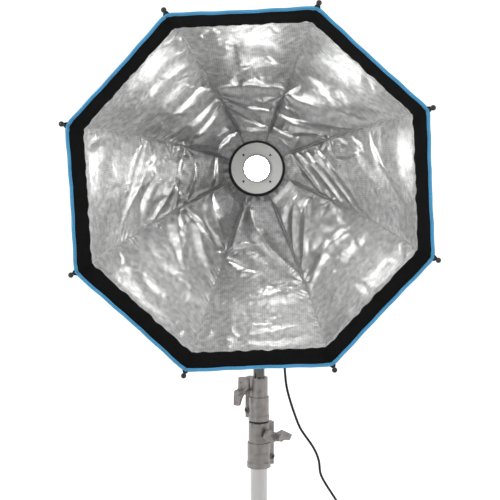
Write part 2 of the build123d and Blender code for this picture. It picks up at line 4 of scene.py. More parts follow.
import bpy
import numpy as np
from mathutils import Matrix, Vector


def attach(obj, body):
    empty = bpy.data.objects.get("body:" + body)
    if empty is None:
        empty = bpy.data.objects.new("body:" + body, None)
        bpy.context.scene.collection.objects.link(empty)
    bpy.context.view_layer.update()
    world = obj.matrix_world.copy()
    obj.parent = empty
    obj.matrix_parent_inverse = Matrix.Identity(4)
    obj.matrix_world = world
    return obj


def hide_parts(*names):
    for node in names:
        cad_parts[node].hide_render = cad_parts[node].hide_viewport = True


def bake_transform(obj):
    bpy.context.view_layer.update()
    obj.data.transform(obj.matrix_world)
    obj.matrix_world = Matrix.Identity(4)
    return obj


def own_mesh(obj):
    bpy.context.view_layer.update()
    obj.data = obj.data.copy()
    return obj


# Visual model of the studio softbox. Metres, +Z up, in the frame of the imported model.

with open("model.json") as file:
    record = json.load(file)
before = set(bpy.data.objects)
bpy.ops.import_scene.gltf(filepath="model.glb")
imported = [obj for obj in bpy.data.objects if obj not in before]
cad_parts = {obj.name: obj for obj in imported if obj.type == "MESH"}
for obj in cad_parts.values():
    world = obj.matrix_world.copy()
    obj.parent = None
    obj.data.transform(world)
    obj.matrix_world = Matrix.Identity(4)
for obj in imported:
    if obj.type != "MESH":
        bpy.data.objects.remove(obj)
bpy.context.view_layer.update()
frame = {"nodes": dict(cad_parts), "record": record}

# ---------------------------------------------------------------- dimensions, as in the CAD source
AXIS_Z = 1.215
RING_Y = -0.160
RIBS = 8
RIM_R, RIM_DEPTH = 0.457, 0.420
RIB_BOW = 0.047
HINGE_R, HINGE_FORWARD = 0.084, -0.008
OCTAGON_TURN = 2.75
HALF_GORE = math.radians(180.0 / RIBS)
CORD_EXIT = (0.045, 0.075, 1.107)
CORD_R = 0.0033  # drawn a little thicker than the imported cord
COIL_CENTRE = (0.262, 0.078, 0.175)
COIL_R = 0.0345
PLUG_TOP = (0.2275, 0.078, 0.118)

# fabric, along the seam over a rib: distance inwards from the rib's centre line
LINING_GAP = 0.0085
SHELL_GAP = 0.0035
LINING_START_R = 0.088
BAND_INNER, BAND_OUTER = (0.4150, 0.3825), (0.4510, 0.4190)
PIPING_AT = (0.4530, 0.4213)


# ---------------------------------------------------------------- small helpers
def smooth(x, low=0.0, high=1.0):
    t = np.clip((np.asarray(x, float) - low) / (high - low), 0, 1)
    return t * t * (3 - 2 * t)


def lattice_noise(x, y, seed):
    """Smooth noise between -1 and 1 with features of size 1."""
    table = np.random.default_rng(seed).uniform(-1, 1, (128, 128))
    xi, yi = np.floor(x).astype(int), np.floor(y).astype(int)
    fx, fy = x - xi, y - yi
    fx, fy = fx**3 * (fx * (6 * fx - 15) + 10), fy**3 * (fy * (6 * fy - 15) + 10)
    near = table[xi % 128, yi % 128] * (1 - fx) + table[(xi + 1) % 128, yi % 128] * fx
    far = table[xi % 128, (yi + 1) % 128] * (1 - fx) + table[(xi + 1) % 128, (yi + 1) % 128] * fx
    return near * (1 - fy) + far * fy


def rib_angle(index):
    return math.radians(90.0 - 22.5 + OCTAGON_TURN - 360.0 / RIBS * index)


def to_world(along, across, forward, angle):
    """Points given along and across a direction in the softbox's plane, and forward of its ring."""
    c, s = math.cos(angle), math.sin(angle)
    return np.stack([along * c - across * s, RING_Y - forward, AXIS_Z + along * s + across * c], -1)


def make_mesh(name, verts, faces, uvs=None, loop_normals=None, smooth_faces=True):
    mesh = bpy.data.meshes.new(name)
    mesh.from_pydata([tuple(map(float, v)) for v in verts], [], [tuple(map(int, f)) for f in faces])
    mesh.polygons.foreach_set("use_smooth", [smooth_faces] * len(mesh.polygons))
    if uvs is not None:
        layer = mesh.uv_layers.new(name="UVMap")
        index = np.empty(len(mesh.loops), int)
        mesh.loops.foreach_get("vertex_index", index)
        layer.data.foreach_set("uv", np.asarray(uvs, np.float32)[index].ravel())
    if loop_normals is not None:
        mesh.normals_split_custom_set([tuple(map(float, n)) for n in loop_normals])
    mesh.update()
    obj = bpy.data.objects.new(name, mesh)
    bpy.context.scene.collection.objects.link(obj)
    return obj


def grid_faces(columns, rows, closed=False):
    """Quads of a grid whose vertex number is column * rows + row."""
    faces = []
    for c in range(columns if closed else columns - 1):
        a, b = c * rows, (c + 1) % columns * rows
        faces += [(a + r, b + r, b + r + 1, a + r + 1) for r in range(rows - 1)]
    return faces


# ---------------------------------------------------------------- materials
def material(name, **inputs):
    made = bpy.data.materials.new(name)
    made.use_nodes = True
    shader = made.node_tree.nodes["Principled BSDF"]
    for key, value in inputs.items():
        shader.inputs[key.replace("_", " ")].default_value = value
    return made, made.node_tree, shader


def node(tree, kind, links=None, **values):
    made = tree.nodes.new("ShaderNode" + kind)
    for key, value in values.items():
        if key in made.bl_rna.properties:
            setattr(made, key, value)
        else:
            made.inputs[key.replace("_", " ")].default_value = value
    for key, source in (links or {}).items():
        tree.links.new(source, made.inputs[key])
    return made


def ramp(tree, source, stops):
    made = node(tree, "ValToRGB", {"Fac": source})
    bar = made.color_ramp
    while len(bar.elements) < len(stops):
        bar.elements.new(0.5)
    for element, (place, value) in zip(bar.elements, stops):
        element.position = place
        element.color = (*value, 1) if hasattr(value, "__len__") else (value, value, value, 1)
    return made.outputs["Color"]


def scaled(colour, factor):
    return tuple(min(1.0, c * factor) for c in colour[:3])


def finish_material(
    name, colour, rough, spread=0.18, grain=900, bump=0.15, mottle=14, rough_spread=0.12,
    stretch=(1, 1, 1), **inputs,
):
    """Colour and roughness that drift over the surface, with a fine grain in relief."""
    made, tree, shader = material(name, **inputs)
    place = node(tree, "TexCoord").outputs["Object"]
    place = node(tree, "Mapping", {"Vector": place}, Scale=stretch).outputs["Vector"]
    broad = node(tree, "TexNoise", {"Vector": place}, Scale=mottle, Detail=5).outputs["Fac"]
    fine = node(tree, "TexNoise", {"Vector": place}, Scale=grain, Detail=3).outputs["Fac"]
    both = node(tree, "Math", {0: broad, 1: fine}, operation="MULTIPLY").outputs[0]
    tree.links.new(
        ramp(tree, both, [(0.1, scaled(colour, 1 - spread)), (0.4, scaled(colour, 1 + spread))]),
        shader.inputs["Base Color"],
    )
    tree.links.new(
        ramp(tree, broad, [(0.3, max(0.03, rough - rough_spread)), (0.7, min(1.0, rough + rough_spread))]),
        shader.inputs["Roughness"],
    )
    relief = node(tree, "Bump", {"Height": fine}, Strength=bump, Distance=0.0004).outputs["Normal"]
    tree.links.new(relief, shader.inputs["Normal"])
    return made


def weave_waves(tree, period):
    """UV map in metres, and two crossing sets of threads on it."""
    uv = node(tree, "UVMap", uv_map="UVMap").outputs["UV"]
    scale = 2 * math.pi / 20 / period
    waves = [
        node(tree, "TexWave", {"Vector": uv}, bands_direction=way, Scale=scale, Distortion=0.6, Detail=1,
             Detail_Scale=2).outputs["Fac"]
        for way in ("X", "Y")
    ]
    return uv, waves


def lining_material():
    made, tree, shader = material("silver_lining", Metallic=0.94, Specular_IOR_Level=0.6)
    uv, waves = weave_waves(tree, 0.0052)
    patches = node(tree, "TexNoise", {"Vector": uv}, Scale=8, Detail=6, Roughness=0.55).outputs["Fac"]
    crush = node(tree, "TexNoise", {"Vector": uv}, Scale=70, Detail=4, Roughness=0.55).outputs["Fac"]
    grid = node(tree, "Math", {0: waves[0], 1: waves[1]}, operation="MAXIMUM").outputs[0]
    grid = node(tree, "Math", {0: grid}, operation="POWER").outputs[0]
    grid.node.inputs[1].default_value = 3.0
    tone = node(tree, "Math", {0: grid, 2: crush}, operation="MULTIPLY_ADD").outputs[0]
    tone.node.inputs[1].default_value = -0.17
    silver = [(0.12, (0.46, 0.46, 0.457)), (0.38, (0.70, 0.70, 0.695)), (0.6, (0.93, 0.93, 0.925))]
    colour = ramp(tree, tone, silver)
    # painted shade: the silver's base colour is multiplied down towards the hub, from 0.42 there to full
    # strength 0.34 m along the gore
    flat = node(tree, "SeparateXYZ", {"Vector": uv}).outputs["Y"]
    wear_and_painted_shade = ramp(tree, flat, [(0.0, 0.42), (0.14, 0.58), (0.34, 1.0)])
    mixed = node(tree, "Mix", data_type="RGBA", blend_type="MULTIPLY")
    mixed.inputs[0].default_value = 1.0
    tree.links.new(colour, mixed.inputs[6])
    tree.links.new(wear_and_painted_shade, mixed.inputs[7])
    tree.links.new(mixed.outputs[2], shader.inputs["Base Color"])
    tree.links.new(ramp(tree, patches, [(0.32, 0.33), (0.68, 0.47)]), shader.inputs["Roughness"])
    height = node(tree, "Math", {0: grid, 2: crush}, operation="MULTIPLY_ADD").outputs[0]
    height.node.inputs[1].default_value = 0.24
    relief = node(tree, "Bump", {"Height": height}, Strength=0.6, Distance=0.0011).outputs["Normal"]
    tree.links.new(relief, shader.inputs["Normal"])
    return made


def cloth_material(name, colour, rough, period, sheen=0.3, bump=0.5, light=1.5, **inputs):
    made, tree, shader = material(name, Sheen_Weight=sheen, Sheen_Roughness=0.4, **inputs)
    uv, waves = weave_waves(tree, period)
    weave = node(tree, "Math", {0: waves[0], 1: waves[1]}, operation="MULTIPLY").outputs[0]
    fuzz = node(tree, "TexNoise", {"Vector": uv}, Scale=420, Detail=4).outputs["Fac"]
    wear_and_painted_shade = node(tree, "TexNoise", {"Vector": uv}, Scale=16, Detail=5).outputs["Fac"]
    tone = node(tree, "Math", {0: fuzz, 1: wear_and_painted_shade}, operation="MULTIPLY").outputs[0]
    tones = [(0.12, scaled(colour, 1 / light)), (0.4, scaled(colour, light))]
    gloss = [(0.3, rough - 0.08), (0.7, min(1, rough + 0.08))]
    tree.links.new(ramp(tree, tone, tones), shader.inputs["Base Color"])
    tree.links.new(ramp(tree, wear_and_painted_shade, gloss), shader.inputs["Roughness"])
    height = node(tree, "Math", {0: weave, 1: fuzz}, operation="ADD").outputs[0]
    relief = node(tree, "Bump", {"Height": height}, Strength=bump, Distance=0.0005).outputs["Normal"]
    tree.links.new(relief, shader.inputs["Normal"])
    return made


def lens_material():
    made, tree, shader = material("lit_lens", Roughness=0.35, Transmission_Weight=0.0, Emission_Strength=34.0)
    place = node(tree, "TexCoord").outputs["Object"]
    dimple = node(tree, "TexVoronoi", {"Vector": place}, Scale=420).outputs["Distance"]
    glass = ramp(tree, dimple, [(0.0, (1, 1, 0.98)), (1.0, (0.93, 0.95, 0.95))])
    glow = ramp(tree, dimple, [(0.0, (1, 1, 1)), (1.0, (0.99, 0.985, 0.97))])
    tree.links.new(glass, shader.inputs["Base Color"])
    tree.links.new(glow, shader.inputs["Emission Color"])
    relief = node(tree, "Bump", {"Height": dimple}, Strength=0.4, Distance=0.0005).outputs["Normal"]
    tree.links.new(relief, shader.inputs["Normal"])
    return made


SLOT_LOOKS = {
    "tube_grey": finish_material(
        "anodised_tube", (0.69, 0.68, 0.66), 0.42, spread=0.06, mottle=9, grain=300, stretch=(1, 1, 0.08),
        bump=0.08, Metallic=0.55,
    ),
    "cast_pewter": finish_material(
        "cast_pewter", (0.33, 0.31, 0.295), 0.40, spread=0.3, mottle=60, grain=1500, bump=0.5,
        Metallic=0.8,
    ),
    "cast_handle": finish_material(
        "cast_handle", (0.36, 0.335, 0.32), 0.38, spread=0.28, mottle=70, grain=1400, bump=0.45,
        Metallic=0.65,
    ),
    "dark_steel": finish_material(
        "dark_steel", (0.16, 0.15, 0.145), 0.35, spread=0.25, mottle=160, Metallic=0.9,
    ),
    # painted reflection: the chrome's base colour is kept dark so that it shows the dark surroundings it
    # would reflect
    "riser_chrome": finish_material(
        "riser_chrome", (0.14, 0.139, 0.137), 0.17, spread=0.06, mottle=30, grain=500,
        stretch=(1, 1, 0.03), bump=0.03, rough_spread=0.05, Metallic=1.0,
    ),
    "bush_black": finish_material("bush_black", (0.03, 0.03, 0.03), 0.5, mottle=120),
    "bumper_black": finish_material("bumper_rubber", (0.02, 0.02, 0.02), 0.65, mottle=160, bump=0.3),
    "stud_steel": finish_material(
        "turned_stud", (0.55, 0.55, 0.54), 0.28, spread=0.1, grain=1200, mottle=40, stretch=(0.1, 0.1, 3),
        bump=0.2, Metallic=1.0,
    ),
    "bracket_black": finish_material(
        "powder_coat", (0.022, 0.022, 0.024), 0.55, spread=0.35, mottle=90, grain=2200, bump=0.5,
    ),
    "knob_black": finish_material(
        "moulded_knob", (0.018, 0.018, 0.019), 0.48, spread=0.3, mottle=120, grain=1800, bump=0.25,
    ),
    "housing_black": finish_material(
        "housing_paint", (0.024, 0.024, 0.027), 0.5, spread=0.3, mottle=40, grain=2000, bump=0.35,
    ),
    "cover_black": finish_material(
        "cover_plastic", (0.02, 0.02, 0.021), 0.55, spread=0.3, mottle=60, grain=1700, bump=0.45,
    ),
    "bayonet_metal": finish_material(
        "bayonet_metal", (0.30, 0.30, 0.30), 0.33, spread=0.2, mottle=120, Metallic=0.95,
    ),
    "plate_ivory": finish_material(
        "ivory_enamel", (0.97, 0.975, 0.92), 0.38, spread=0.05, mottle=25, grain=700, bump=0.12,
        Coat_Weight=0.25, Coat_Roughness=0.25,
    ),
    "ring_grey": finish_material("lens_ring", (0.62, 0.62, 0.62), 0.4, spread=0.1, mottle=90, Metallic=0.7),
    "lens_glass": lens_material(),
    "led_yellow": finish_material("phosphor", (0.85, 0.72, 0.22), 0.6, mottle=200),
    "sink_alloy": finish_material("mill_alloy", (0.6, 0.6, 0.61), 0.35, spread=0.1, mottle=80, Metallic=0.95),
    "fan_black": finish_material("fan_plastic", (0.022, 0.022, 0.022), 0.5, mottle=120),
    "board_green": finish_material("circuit_board", (0.035, 0.16, 0.07), 0.45, spread=0.4, mottle=150),
    "display_dark": finish_material(
        "display_window", (0.012, 0.016, 0.02), 0.12, mottle=60, bump=0.02, Coat_Weight=0.6,
        Coat_Roughness=0.05,
    ),
    "cord_black": finish_material(
        "cord_rubber", (0.005, 0.005, 0.0052), 0.55, spread=0.35, mottle=120, bump=0.2,
    ),
    "tie_black": cloth_material("loop_tie", (0.014, 0.014, 0.014), 0.9, 0.0012, sheen=0.15),
    "plug_black": finish_material(
        "plug_rubber", (0.016, 0.016, 0.016), 0.45, spread=0.3, mottle=90, bump=0.3,
    ),
    "pin_brass": finish_material(
        "plated_pins", (0.66, 0.60, 0.44), 0.25, spread=0.1, mottle=200, Metallic=1.0,
    ),
    "ring_black": finish_material(
        "ring_anodised", (0.02, 0.02, 0.021), 0.4, spread=0.3, mottle=70, Metallic=0.3,
    ),
    "switch_black": finish_material(
        "rocker_plastic", (0.018, 0.018, 0.018), 0.2, mottle=150, bump=0.05, Coat_Weight=0.4,
        Coat_Roughness=0.1,
    ),
    "rib_black": finish_material("coated_rod", (0.02, 0.02, 0.021), 0.36, spread=0.3, mottle=90, bump=0.1),
}
LINING = lining_material()
SHELL = cloth_material("black_nylon", (0.013, 0.013, 0.0145), 0.55, 0.0009, sheen=0.25, bump=0.4, light=1.35)
BAND = cloth_material("loop_band", (0.0052, 0.0052, 0.0055), 0.97, 0.0016, sheen=0.05, bump=0.8, light=1.5,
                      Specular_IOR_Level=0.12)
BAND_HEM = cloth_material("band_hem", (0.045, 0.045, 0.045), 0.6, 0.0012, sheen=0.1, bump=0.4, light=1.25)
PIPING = cloth_material("blue_binding", (0.06, 0.36, 0.66), 0.5, 0.0011, sheen=0.35, bump=0.55, light=1.18)

slot_of = {row["node"]: row["material_slot"] for row in frame["record"]["subparts"]}
for name, obj in frame["nodes"].items():
    look = SLOT_LOOKS.get(slot_of[name])
    if look:
        obj.data.materials.clear()
        obj.data.materials.append(look)

# ---------------------------------------------------------------- camera and light
scene = bpy.context.scene
scene.view_settings.view_transform = "Standard"
LENS_MM = 154.93
DISTANCE = 5.0
azimuth, elevation = math.radians(2.23), math.radians(8.14)
AIM_BELOW, AIM_LEFT = math.radians(1.548), math.radians(0.0096)
rim_centre = Vector((0, RING_Y - RIM_DEPTH, AXIS_Z))
level = math.cos(elevation)
back = Vector((math.sin(azimuth) * level, -math.cos(azimuth) * level, math.sin(elevation)))
right = (-back).cross(Vector((0, 0, 1))).normalized()
up = right.cross(-back)
camera = bpy.data.objects.new("camera", bpy.data.cameras.new("camera"))
scene.collection.objects.link(camera)
camera.location = rim_centre + back * DISTANCE
aim = rim_centre - up * (DISTANCE * math.tan(AIM_BELOW)) - right * (DISTANCE * math.tan(AIM_LEFT))
camera.rotation_euler = (aim - camera.location).to_track_quat("-Z", "Y").to_euler()
camera.data.lens = LENS_MM
camera.data.clip_end = 400
scene.camera = camera

world = bpy.data.worlds.new("studio")
world.use_nodes = True
scene.world = world
tree = world.node_tree
# the sky is dark on the camera's side and pale behind the object, blended along Y
direction = node(tree, "TexCoord").outputs["Generated"]
parts = node(tree, "SeparateXYZ", {"Vector": direction}).outputs
shade = ramp(tree, parts["Y"], [(0.0, 0.03), (0.22, 0.035), (0.40, 0.13), (0.6, 0.75)])
shifted = node(tree, "Math", {0: parts["Y"]}, operation="MULTIPLY_ADD").outputs[0]
shifted.node.inputs[1].default_value = 0.5
shifted.node.inputs[2].default_value = 0.5
tree.links.new(shifted, shade.node.inputs["Fac"])
tree.links.new(shade, tree.nodes["Background"].inputs["Color"])
tree.nodes["Background"].inputs["Strength"].default_value = 1.0


def area_light(name, location, target, size, watts, tint=(1, 1, 1)):
    data = bpy.data.lights.new(name, "AREA")
    data.shape = "RECTANGLE"
    data.size, data.size_y = size
    data.energy = watts
    data.color = tint
    light = bpy.data.objects.new(name, data)
    scene.collection.objects.link(light)
    light.location = location
    light.rotation_euler = (Vector(target) - Vector(location)).to_track_quat("-Z", "Y").to_euler()


area_light("key_left", (-3.2, -3.6, 2.9), (0, -0.4, 1.2), (1.2, 1.0), 76)
area_light("fill_right", (3.4, -2.4, 1.7), (0, -0.4, 1.2), (0.9, 1.3), 42)
area_light("top", (0.6, -2.6, 4.0), (0, -0.4, 1.2), (1.6, 0.8), 40)
area_light("low_left", (-2.4, -2.6, 0.9), (0, -0.4, 1.2), (0.6, 0.9), 8)

floor_look = finish_material("pale_floor", (0.9, 0.9, 0.9), 0.8, spread=0.01, mottle=0.4, bump=0.0)
floor_shader = floor_look.node_tree.nodes["Principled BSDF"]
floor_shader.inputs["Emission Color"].default_value = (1, 1, 1, 1)
# the ground glows only behind the object, so that it is white in the picture and the lining stays shaded
place = node(floor_look.node_tree, "TexCoord").outputs["Object"]
depth = node(floor_look.node_tree, "SeparateXYZ", {"Vector": place}).outputs["Y"]
glow = node(floor_look.node_tree, "MapRange", {"Value": depth}, From_Min=-0.4, From_Max=1.0, To_Max=0.75)
floor_look.node_tree.links.new(glow.outputs["Result"], floor_shader.inputs["Emission Strength"])
floor = make_mesh("floor", [(-200, -200, 0), (200, -200, 0), (200, 200, 0), (-200, 200, 0)], [(0, 1, 2, 3)])
floor.data.materials.append(floor_look)


# ---------------------------------------------------------------- mains lead
CORD_ROUTE = [
    CORD_EXIT, (0.045, 0.075, 1.054), (0.046, 0.078, 0.990), (0.050, 0.082, 0.920), (0.055, 0.080, 0.845),
    (0.060, 0.076, 0.772), (0.063, 0.075, 0.704), (0.066, 0.076, 0.645), (0.070, 0.077, 0.598),
    (0.081, 0.078, 0.556), (0.094, 0.079, 0.517), (0.107, 0.079, 0.482), (0.126, 0.078, 0.455),
    (0.146, 0.078, 0.427), (0.160, 0.079, 0.392), (0.161, 0.080, 0.358), (0.175, 0.080, 0.331),
    (0.192, 0.079, 0.305), (0.209, 0.080, 0.278), (0.219, 0.081, 0.252), (0.2215, 0.083, 0.226),
    (0.2213, 0.0842, 0.202),
]
TURN_POINTS = 24
TURN_PITCH = 0.0062


def coil_points():
    """Nine turns, three layers of three, wound from the outer layer in. A turn starts at the coil's left."""
    steps, made = [(0, 1), (0, 0), (0, -1), (1, -1), (1, 0), (1, 1), (2, 1), (2, 0), (2, -1)], []
    for turn, (layer, side) in enumerate(steps):
        next_layer, next_side = steps[turn + 1] if turn + 1 < len(steps) else (layer, side)
        for k in range(TURN_POINTS):
            share = k / TURN_POINTS
            lean = float(smooth(share, 0.30, 0.58))
            climb = float(smooth(share, 0.62, 0.92))
            radius = COIL_R + TURN_PITCH * (1 - layer - (next_layer - layer) * climb)
            y = COIL_CENTRE[1] + TURN_PITCH * (side + (next_side - side) * lean)
            angle = math.pi + 2 * math.pi * share
            x = COIL_CENTRE[0] + radius * math.cos(angle)
            z = COIL_CENTRE[2] + radius * math.sin(angle)
            made.append((x, y, z))
    return made


def cord_tube():
    """Tube round the lead's smooth line, with that line for a path."""
    left = COIL_CENTRE[0] - COIL_R + TURN_PITCH
    beside = COIL_CENTRE[1] - 2.15 * TURN_PITCH
    leave = [
        (left, COIL_CENTRE[1] - TURN_PITCH, COIL_CENTRE[2]), (left - 0.0005, beside + 0.001, 0.162),
        (left - 0.0015, beside, 0.150), (left - 0.003, beside, 0.141),
        (PLUG_TOP[0] + 0.001, beside + 0.005, 0.132), (PLUG_TOP[0], PLUG_TOP[1] - 0.001, 0.124),
        (PLUG_TOP[0], PLUG_TOP[1], 0.1165),
    ]
    points = CORD_ROUTE + coil_points() + leave
    curve = bpy.data.curves.new("lead_line", "CURVE")
    curve.dimensions = "3D"
    spline = curve.splines.new("NURBS")
    spline.points.add(len(points) - 1)
    for point, place in zip(spline.points, points):
        point.co = (*place, 1)
    spline.order_u = 3
    spline.use_endpoint_u = True
    spline.resolution_u = 4
    holder = bpy.data.objects.new("lead_line", curve)
    scene.collection.objects.link(holder)
    bpy.context.view_layer.update()
    line = bpy.data.meshes.new_from_object(holder.evaluated_get(bpy.context.evaluated_depsgraph_get()))
    path = np.array([v.co for v in line.vertices], float)
    bpy.data.objects.remove(holder)
    keep = np.concatenate([[True], np.linalg.norm(np.diff(path, axis=0), axis=1) > 1e-5])
    path = path[keep]
    heading = np.gradient(path, axis=0)
    heading /= np.linalg.norm(heading, axis=1)[:, None]
    sides = 12
    turn = np.linspace(0, 2 * math.pi, sides, endpoint=False)
    across = np.cross(heading[0], (0, 1, 0))
    rings = []
    for here, ahead in zip(path, heading):
        across = across - ahead * (across @ ahead)
        across /= np.linalg.norm(across)
        other = np.cross(ahead, across)
        rings.append(here + CORD_R * (np.cos(turn)[:, None] * across + np.sin(turn)[:, None] * other))
    verts = np.concatenate(rings + [path[:1], path[-1:]])
    count = len(path)
    faces = []
    for i in range(count - 1):
        for j in range(sides):
            a, b = i * sides + j, i * sides + (j + 1) % sides
            faces.append((a, b, b + sides, a + sides))
    first, last = count * sides, count * sides + 1
    for j in range(sides):
        faces.append((first, (j + 1) % sides, j))
        faces.append((last, (count - 1) * sides + j, (count - 1) * sides + (j + 1) % sides))
    return make_mesh("mains_lead", verts, faces), path


def stacked_faces(rows, sides):
    """Faces of a closed solid whose rings lie one below the other."""
    faces = []
    for i in range(rows - 1):
        for j in range(sides):
            a, b = i * sides + j, i * sides + (j + 1) % sides
            faces.append((a, a + sides, b + sides, b))
    faces.append(tuple(range(sides)))
    faces.append(tuple(reversed(range((rows - 1) * sides, rows * sides))))
    return faces


def lathe(name, profile, centre, sides=40):
    """Closed solid of revolution about a vertical axis, from (radius, height) pairs, top first."""
    verts = []
    for radius, height in profile:
        for a in np.linspace(0, 2 * math.pi, sides, endpoint=False):
            verts.append((centre[0] + radius * math.cos(a), centre[1] + radius * math.sin(a), height))
    return make_mesh(name, verts, stacked_faces(len(profile), sides))


def super_loft(name, rows, centre, power=3.2, sides=56):
    """Closed solid of stacked rounded rectangles: rows of (half width, half depth, height), top first."""
    verts = []
    for half_x, half_y, height in rows:
        for a in np.linspace(0, 2 * math.pi, sides, endpoint=False):
            c, s = math.cos(a), math.sin(a)
            x = half_x * math.copysign(abs(c) ** (2 / power), c)
            y = half_y * math.copysign(abs(s) ** (2 / power), s)
            verts.append((centre[0] + x, centre[1] + y, height))
    return make_mesh(name, verts, stacked_faces(len(rows), sides))


lead, lead_path = cord_tube()
lead.data.materials.append(SLOT_LOOKS["cord_black"])
plug_x, plug_y, plug_z = PLUG_TOP
boot_rows = [(0.0040, plug_z + 0.0005)]
for ring in range(6):
    top = plug_z - 0.001 - 0.0034 * ring
    wide = 0.0044 + 0.0003 * ring
    raised, sunk = wide + 0.0005, wide - 0.0007
    boot_rows += [(wide, top), (raised, top - 0.0010), (raised, top - 0.0019)]
    boot_rows += [(sunk, top - 0.0022), (sunk, top - 0.0031)]
boot_rows += [(0.0062, plug_z - 0.0225)]
boot = lathe("plug_boot", boot_rows, (plug_x, plug_y))
body_rows = []
for share in np.linspace(0, 1, 22):
    height = plug_z - 0.021 - 0.030 * share
    crown = math.sqrt(max(0.0, 1 - (1 - min(1, share / 0.22)) ** 2))
    waist = 1 - 0.10 * math.sin(math.pi * min(1, share * 1.15)) ** 2
    groove = 0.0006 if 0.83 < share < 0.9 else 0.0
    fullness = crown * waist
    body_rows.append((0.0062 + 0.0118 * fullness - groove, 0.0060 + 0.0050 * fullness - groove, height))
plug_body = super_loft("plug_body", body_rows, (plug_x, plug_y))
pins = []
for side in (-1, 1):
    tip = plug_z - 0.070
    profile = [(0.0024, plug_z - 0.0505), (0.0024, tip + 0.0022), (0.0021, tip + 0.0008), (0.0013, tip)]
    pins.append(lathe(f"plug_pin_{side + 2}", profile, (plug_x + side * 0.0095, plug_y), sides=28))
for piece in (boot, plug_body):
    piece.data.materials.append(SLOT_LOOKS["plug_black"])
for piece in pins:
    piece.data.materials.append(SLOT_LOOKS["pin_brass"])


def tie_band():
    """Hook-and-loop strap round the coil's top, overlapping itself."""
    half, corner, thick = 0.0101, 0.004, 0.0009
    low, high = COIL_CENTRE[2] + COIL_R - 0.0107, COIL_CENTRE[2] + COIL_R + half
    loop = []
    for cx, cz, start in ((half - corner, high - corner, 0), (-half + corner, high - corner, 90),
                          (-half + corner, low + corner, 180), (half - corner, low + corner, 270)):
        for step in range(0, 91, 15):
            a = math.radians(start + step)
            loop.append((cx + corner * math.cos(a), cz + corner * math.sin(a), math.cos(a), math.sin(a)))
    loop.append(loop[0])
    loop += [loop[k] for k in range(1, 6)]
    verts = []
    for k, (y, z, ny, nz) in enumerate(loop):
        lift = 0.0011 * float(smooth(k, len(loop) - 9, len(loop) - 5))
        for x, out in ((-0.006, 0.0), (0.006, 0.0), (0.006, thick), (-0.006, thick)):
            verts.append((COIL_CENTRE[0] + x, COIL_CENTRE[1] + y + ny * (lift + out), z + nz * (lift + out)))
    faces = []
    for k in range(len(loop) - 1):
        for j in range(4):
            a, b = 4 * k + j, 4 * k + (j + 1) % 4
            faces.append((a, b, b + 4, a + 4))
    faces += [(3, 2, 1, 0), tuple(4 * (len(loop) - 1) + j for j in range(4))]
    uvs = [(0.012 * (j in (1, 2)), 0.003 * k) for k in range(len(loop)) for j in range(4)]
    return make_mesh("coil_tie", verts, faces, uvs, smooth_faces=False)


tie = tie_band()
tie.data.materials.append(SLOT_LOOKS["tie_black"])


# ---------------------------------------------------------------- fabric surface
CHORD = (RIM_R - HINGE_R, RIM_DEPTH - HINGE_FORWARD)
CHORD_L = math.hypot(*CHORD)
RIB_R = (CHORD_L**2 / 4 + RIB_BOW**2) / (2 * RIB_BOW)
CHORD_SLOPE = math.atan2(CHORD[1], CHORD[0])
HALF_TURN = math.asin(CHORD_L / 2 / RIB_R)
RIB_CENTRE = (
    HINGE_R - RIB_R * math.sin(CHORD_SLOPE - HALF_TURN),
    HINGE_FORWARD + RIB_R * math.cos(CHORD_SLOPE - HALF_TURN),
)


def rib_point(offset, turn):
    heading = CHORD_SLOPE - HALF_TURN + turn
    radius = RIB_R - offset
    return RIB_CENTRE[0] + radius * np.sin(heading), RIB_CENTRE[1] - radius * np.cos(heading)


def resample(points, count):
    """Points spread evenly by length along a line of (radius, forward) pairs."""
    points = np.asarray(points)
    run = np.concatenate([[0], np.cumsum(np.linalg.norm(np.diff(points, axis=0), axis=1))])
    at = np.linspace(0, run[-1], count)
    return np.stack([np.interp(at, run, points[:, k]) for k in range(2)], -1), at


def lining_profile(count):
    """Seam line of the lining: the rib's curve, offset, leaving it for the band's edge near the rim."""
    turn = np.linspace(0, 2 * HALF_TURN, 600)
    r, s = rib_point(LINING_GAP, turn)
    offset = LINING_GAP + 0.0125 * smooth(s, 0.285, 0.386)
    r, s = rib_point(offset, turn)
    start = 0.104
    lead_r = np.linspace(0.0755, start, 24)
    s_start = np.interp(start, r, s)
    lead_s = 0.0068 + (s_start - 0.0068) * ((lead_r - 0.0755) / (start - 0.0755)) ** 1.6
    keep = (r > start + 0.001) & (s < BAND_INNER[1] + 0.006)
    points = np.stack([np.concatenate([lead_r, r[keep]]), np.concatenate([lead_s, s[keep]])], -1)
    inner = points[points[:, 0] <= LINING_START_R + 0.004]
    outer = points[points[:, 0] >= LINING_START_R]
    return inner, resample(outer, count)


